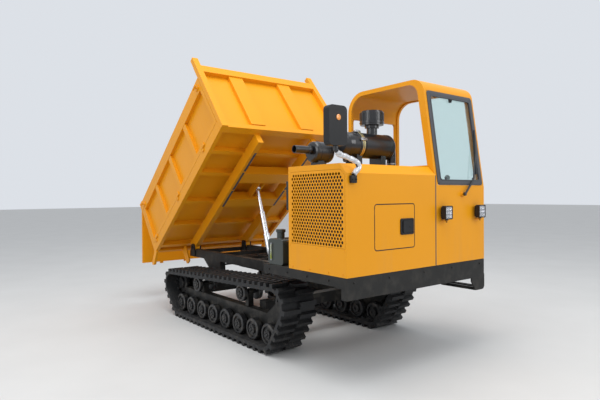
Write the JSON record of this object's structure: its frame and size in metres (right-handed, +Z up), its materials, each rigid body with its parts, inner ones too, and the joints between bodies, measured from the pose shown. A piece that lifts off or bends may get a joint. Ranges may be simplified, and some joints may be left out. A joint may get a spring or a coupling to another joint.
{
  "type": "ride-on crawler dumper",
  "caption": "Ride-on rubber-track dumper with an engine hood and cab side by side in front and a drop-side bed that tips to the rear on a telescopic cylinder.",
  "frame": {"origin": "on the ground at the centre of the machine's outer box, with the bed raised", "axes": "+X towards the front of the machine, +Y to its left, +Z up"},
  "size_m": [4.2366, 2.155, 2.9597],
  "materials": {
    "body_paint": "semi-gloss yellow-orange paint",
    "frame_paint": "satin dark grey paint",
    "wheel_paint": "satin black",
    "track_rubber": "moulded black rubber",
    "cylinder_chrome": "polished",
    "black_paint": "satin black paint",
    "black_plastic": "matt black",
    "lamp_housing": "black die-cast housing with a clear lens",
    "engine_iron": "painted casting",
    "tank_paint": "dark green-grey paint",
    "tinted_glass": "pale green tint",
    "seat_cover": "black woven cover"
  },
  "bodies": {
    "machine": {"chassis_frame": "frame_paint", "platform_frame": "frame_paint", "entry_step": "frame_paint", "track_frame_l": "frame_paint", "track_frame_r": "frame_paint", "track_belt_l": "track_rubber", "track_belt_r": "track_rubber", "engine_hood": "body_paint", "side_grille": "body_paint", "engine_block": "engine_iron", "air_cleaner": "black_paint", "pre_cleaner": "black_paint", "muffler": "black_paint", "mirror_arm": "black_paint", "fuel_tank": "tank_paint", "cab_shell": "body_paint", "windshield": "tinted_glass", "seat": "seat_cover"},
    "bed": {"bed_floor": "body_paint", "headboard": "body_paint"},
    "drop_side_l": {"drop_side_l": "body_paint"},
    "drop_side_r": {"drop_side_r": "body_paint"},
    "tailgate": {"tailgate": "body_paint"},
    "cylinder_barrel": {"cylinder_barrel": "black_paint"},
    "cylinder_stage_1": {"cylinder_stage_1": "cylinder_chrome"},
    "cylinder_stage_2": {"cylinder_stage_2": "cylinder_chrome"},
    "cylinder_stage_3": {"cylinder_stage_3": "cylinder_chrome"},
    "access_door": {"access_door": "body_paint"},
    "door_latch": {"door_latch": "black_plastic"},
    "cooling_fan": {"cooling_fan": "black_plastic"},
    "mirror_head": {"mirror_head": "black_plastic"},
    "wiper": {"wiper": "black_paint"},
    "headlamp_r": {"headlamp_r": "lamp_housing"},
    "headlamp_l": {"headlamp_l": "lamp_housing"},
    "control_lever_r": {"control_lever_r": "black_plastic"},
    "control_lever_l": {"control_lever_l": "black_plastic"},
    "sprocket_l": {"sprocket_l": "wheel_paint"},
    "front_idler_l": {"front_idler_l": "wheel_paint"},
    "carrier_roller_l_1": {"carrier_roller_l_1": "wheel_paint"},
    "carrier_roller_l_2": {"carrier_roller_l_2": "wheel_paint"},
    "road_roller_l_1": {"road_roller_l_1": "wheel_paint"},
    "road_roller_l_2": {"road_roller_l_2": "wheel_paint"},
    "road_roller_l_3": {"road_roller_l_3": "wheel_paint"},
    "road_roller_l_4": {"road_roller_l_4": "wheel_paint"},
    "road_roller_l_5": {"road_roller_l_5": "wheel_paint"},
    "road_roller_l_6": {"road_roller_l_6": "wheel_paint"},
    "road_roller_l_7": {"road_roller_l_7": "wheel_paint"},
    "road_roller_l_8": {"road_roller_l_8": "wheel_paint"},
    "sprocket_r": {"sprocket_r": "wheel_paint"},
    "front_idler_r": {"front_idler_r": "wheel_paint"},
    "carrier_roller_r_1": {"carrier_roller_r_1": "wheel_paint"},
    "carrier_roller_r_2": {"carrier_roller_r_2": "wheel_paint"},
    "road_roller_r_1": {"road_roller_r_1": "wheel_paint"},
    "road_roller_r_2": {"road_roller_r_2": "wheel_paint"},
    "road_roller_r_3": {"road_roller_r_3": "wheel_paint"},
    "road_roller_r_4": {"road_roller_r_4": "wheel_paint"},
    "road_roller_r_5": {"road_roller_r_5": "wheel_paint"},
    "road_roller_r_6": {"road_roller_r_6": "wheel_paint"},
    "road_roller_r_7": {"road_roller_r_7": "wheel_paint"},
    "road_roller_r_8": {"road_roller_r_8": "wheel_paint"}
  },
  "joints": [
    {"name": "bed_tip", "type": "hinge", "parent": "machine", "child": "bed", "pos_m": [-1.321, 0, 0.755], "axis": [0, -1, 0], "range_deg": [-38.9, 0]},
    {"name": "tailgate_hinge", "type": "hinge", "parent": "bed", "child": "tailgate", "pos_m": [-2.0806, 0, 1.30624], "axis": [0, -1, 0], "range_deg": [-45, 38.8]},
    {"name": "drop_side_l_hinge", "type": "hinge", "parent": "bed", "child": "drop_side_l", "pos_m": [-0.8183, 0.8555, 1.43303], "axis": [-0.7782, 0, -0.628], "range_deg": [0, 160]},
    {"name": "drop_side_r_hinge", "type": "hinge", "parent": "bed", "child": "drop_side_r", "pos_m": [-0.8183, -0.8555, 1.43303], "axis": [0.7782, 0, 0.628], "range_deg": [0, 160]},
    {"name": "barrel_tilt", "type": "hinge", "parent": "machine", "child": "cylinder_barrel", "pos_m": [-0.159, 0, 0.689], "axis": [0, -1, 0], "range_deg": [-20.56, 0]},
    {"name": "stage_1_slide", "type": "slide", "parent": "cylinder_barrel", "child": "cylinder_stage_1", "axis": [-0.3224, 0, 0.9466], "range_m": [-0.2567, 0]},
    {"name": "stage_2_slide", "type": "slide", "parent": "cylinder_stage_1", "child": "cylinder_stage_2", "axis": [-0.3224, 0, 0.9466], "range_m": [-0.2567, 0]},
    {"name": "stage_3_slide", "type": "slide", "parent": "cylinder_stage_2", "child": "cylinder_stage_3", "axis": [-0.3224, 0, 0.9466], "range_m": [-0.2567, 0]},
    {"name": "access_door_hinge", "type": "hinge", "parent": "machine", "child": "access_door", "pos_m": [2.062, -0.588, 1.175], "axis": [0, 0, -1], "range_deg": [0, 100]},
    {"name": "door_latch_paddle", "type": "hinge", "parent": "access_door", "child": "door_latch", "pos_m": [2.068, -0.218, 1.219], "axis": [0, -1, 0], "range_deg": [0, 35], "stiffness_Nm_per_rad": 0.6},
    {"name": "cooling_fan_spin", "type": "hinge", "parent": "machine", "child": "cooling_fan", "pos_m": [1.714, -0.675, 1.3225], "axis": [0, 1, 0], "continuous": true},
    {"name": "mirror_swivel", "type": "hinge", "parent": "machine", "child": "mirror_head", "pos_m": [2.077, -0.99, 1.9], "axis": [0, 0, 1], "range_deg": [-60, 60]},
    {"name": "wiper_sweep", "type": "hinge", "parent": "machine", "child": "wiper", "pos_m": [2.06, 0.53, 1.42], "axis": [0.9896, 0, 0.1439], "range_deg": [0, 50]},
    {"name": "headlamp_r_pan", "type": "hinge", "parent": "machine", "child": "headlamp_r", "pos_m": [2.1025, 0.245, 1.268], "axis": [0, 0, 1], "range_deg": [-22, 22]},
    {"name": "headlamp_l_pan", "type": "hinge", "parent": "machine", "child": "headlamp_l", "pos_m": [2.1025, 0.741, 1.268], "axis": [0, 0, 1], "range_deg": [-22, 22]},
    {"name": "control_lever_r_tilt", "type": "hinge", "parent": "machine", "child": "control_lever_r", "pos_m": [1.895, 0.406, 1.412], "axis": [0, 1, 0], "range_deg": [-22, 22]},
    {"name": "control_lever_l_tilt", "type": "hinge", "parent": "machine", "child": "control_lever_l", "pos_m": [1.895, 0.626, 1.412], "axis": [0, 1, 0], "range_deg": [-22, 22]},
    {"name": "sprocket_l_spin", "type": "hinge", "parent": "machine", "child": "sprocket_l", "pos_m": [-1.045, 0.682, 0.362], "axis": [0, 1, 0], "continuous": true},
    {"name": "front_idler_l_spin", "type": "hinge", "parent": "machine", "child": "front_idler_l", "pos_m": [1.075, 0.682, 0.445], "axis": [0, 1, 0], "continuous": true},
    {"name": "carrier_roller_l_1_spin", "type": "hinge", "parent": "machine", "child": "carrier_roller_l_1", "pos_m": [-0.49, 0.682, 0.42601], "axis": [0, 1, 0], "continuous": true},
    {"name": "carrier_roller_l_2_spin", "type": "hinge", "parent": "machine", "child": "carrier_roller_l_2", "pos_m": [0.45, 0.682, 0.47169], "axis": [0, 1, 0], "continuous": true},
    {"name": "road_roller_l_1_spin", "type": "hinge", "parent": "machine", "child": "road_roller_l_1", "pos_m": [-0.8715, 0.682, 0.166], "axis": [0, 1, 0], "continuous": true},
    {"name": "road_roller_l_2_spin", "type": "hinge", "parent": "machine", "child": "road_roller_l_2", "pos_m": [-0.6125, 0.682, 0.166], "axis": [0, 1, 0], "continuous": true},
    {"name": "road_roller_l_3_spin", "type": "hinge", "parent": "machine", "child": "road_roller_l_3", "pos_m": [-0.3535, 0.682, 0.166], "axis": [0, 1, 0], "continuous": true},
    {"name": "road_roller_l_4_spin", "type": "hinge", "parent": "machine", "child": "road_roller_l_4", "pos_m": [-0.0945, 0.682, 0.166], "axis": [0, 1, 0], "continuous": true},
    {"name": "road_roller_l_5_spin", "type": "hinge", "parent": "machine", "child": "road_roller_l_5", "pos_m": [0.1645, 0.682, 0.166], "axis": [0, 1, 0], "continuous": true},
    {"name": "road_roller_l_6_spin", "type": "hinge", "parent": "machine", "child": "road_roller_l_6", "pos_m": [0.4235, 0.682, 0.166], "axis": [0, 1, 0], "continuous": true},
    {"name": "road_roller_l_7_spin", "type": "hinge", "parent": "machine", "child": "road_roller_l_7", "pos_m": [0.6825, 0.682, 0.166], "axis": [0, 1, 0], "continuous": true},
    {"name": "road_roller_l_8_spin", "type": "hinge", "parent": "machine", "child": "road_roller_l_8", "pos_m": [0.9415, 0.682, 0.166], "axis": [0, 1, 0], "continuous": true},
    {"name": "sprocket_r_spin", "type": "hinge", "parent": "machine", "child": "sprocket_r", "pos_m": [-1.045, -0.682, 0.362], "axis": [0, 1, 0], "continuous": true},
    {"name": "front_idler_r_spin", "type": "hinge", "parent": "machine", "child": "front_idler_r", "pos_m": [1.075, -0.682, 0.445], "axis": [0, 1, 0], "continuous": true},
    {"name": "carrier_roller_r_1_spin", "type": "hinge", "parent": "machine", "child": "carrier_roller_r_1", "pos_m": [-0.49, -0.682, 0.42601], "axis": [0, 1, 0], "continuous": true},
    {"name": "carrier_roller_r_2_spin", "type": "hinge", "parent": "machine", "child": "carrier_roller_r_2", "pos_m": [0.45, -0.682, 0.47169], "axis": [0, 1, 0], "continuous": true},
    {"name": "road_roller_r_1_spin", "type": "hinge", "parent": "machine", "child": "road_roller_r_1", "pos_m": [-0.8715, -0.682, 0.166], "axis": [0, 1, 0], "continuous": true},
    {"name": "road_roller_r_2_spin", "type": "hinge", "parent": "machine", "child": "road_roller_r_2", "pos_m": [-0.6125, -0.682, 0.166], "axis": [0, 1, 0], "continuous": true},
    {"name": "road_roller_r_3_spin", "type": "hinge", "parent": "machine", "child": "road_roller_r_3", "pos_m": [-0.3535, -0.682, 0.166], "axis": [0, 1, 0], "continuous": true},
    {"name": "road_roller_r_4_spin", "type": "hinge", "parent": "machine", "child": "road_roller_r_4", "pos_m": [-0.0945, -0.682, 0.166], "axis": [0, 1, 0], "continuous": true},
    {"name": "road_roller_r_5_spin", "type": "hinge", "parent": "machine", "child": "road_roller_r_5", "pos_m": [0.1645, -0.682, 0.166], "axis": [0, 1, 0], "continuous": true},
    {"name": "road_roller_r_6_spin", "type": "hinge", "parent": "machine", "child": "road_roller_r_6", "pos_m": [0.4235, -0.682, 0.166], "axis": [0, 1, 0], "continuous": true},
    {"name": "road_roller_r_7_spin", "type": "hinge", "parent": "machine", "child": "road_roller_r_7", "pos_m": [0.6825, -0.682, 0.166], "axis": [0, 1, 0], "continuous": true},
    {"name": "road_roller_r_8_spin", "type": "hinge", "parent": "machine", "child": "road_roller_r_8", "pos_m": [0.9415, -0.682, 0.166], "axis": [0, 1, 0], "continuous": true}
  ],
  "couplings": [
    {"joint": "stage_1_slide", "follows": "bed_tip", "m_per_rad": 0.37732},
    {"joint": "stage_2_slide", "follows": "bed_tip", "m_per_rad": 0.37732},
    {"joint": "stage_3_slide", "follows": "bed_tip", "m_per_rad": 0.37732},
    {"joint": "barrel_tilt", "follows": "bed_tip", "ratio": 0.52335},
    {"joint": "front_idler_l_spin", "follows": "sprocket_l_spin", "ratio": 0.85714},
    {"joint": "carrier_roller_l_1_spin", "follows": "sprocket_l_spin", "ratio": 1.4118},
    {"joint": "carrier_roller_l_2_spin", "follows": "sprocket_l_spin", "ratio": 1.4118},
    {"joint": "road_roller_l_1_spin", "follows": "sprocket_l_spin", "ratio": 1.2},
    {"joint": "road_roller_l_2_spin", "follows": "sprocket_l_spin", "ratio": 1.2},
    {"joint": "road_roller_l_3_spin", "follows": "sprocket_l_spin", "ratio": 1.2},
    {"joint": "road_roller_l_4_spin", "follows": "sprocket_l_spin", "ratio": 1.2},
    {"joint": "road_roller_l_5_spin", "follows": "sprocket_l_spin", "ratio": 1.2},
    {"joint": "road_roller_l_6_spin", "follows": "sprocket_l_spin", "ratio": 1.2},
    {"joint": "road_roller_l_7_spin", "follows": "sprocket_l_spin", "ratio": 1.2},
    {"joint": "road_roller_l_8_spin", "follows": "sprocket_l_spin", "ratio": 1.2},
    {"joint": "front_idler_r_spin", "follows": "sprocket_r_spin", "ratio": 0.85714},
    {"joint": "carrier_roller_r_1_spin", "follows": "sprocket_r_spin", "ratio": 1.4118},
    {"joint": "carrier_roller_r_2_spin", "follows": "sprocket_r_spin", "ratio": 1.4118},
    {"joint": "road_roller_r_1_spin", "follows": "sprocket_r_spin", "ratio": 1.2},
    {"joint": "road_roller_r_2_spin", "follows": "sprocket_r_spin", "ratio": 1.2},
    {"joint": "road_roller_r_3_spin", "follows": "sprocket_r_spin", "ratio": 1.2},
    {"joint": "road_roller_r_4_spin", "follows": "sprocket_r_spin", "ratio": 1.2},
    {"joint": "road_roller_r_5_spin", "follows": "sprocket_r_spin", "ratio": 1.2},
    {"joint": "road_roller_r_6_spin", "follows": "sprocket_r_spin", "ratio": 1.2},
    {"joint": "road_roller_r_7_spin", "follows": "sprocket_r_spin", "ratio": 1.2},
    {"joint": "road_roller_r_8_spin", "follows": "sprocket_r_spin", "ratio": 1.2}
  ]
}
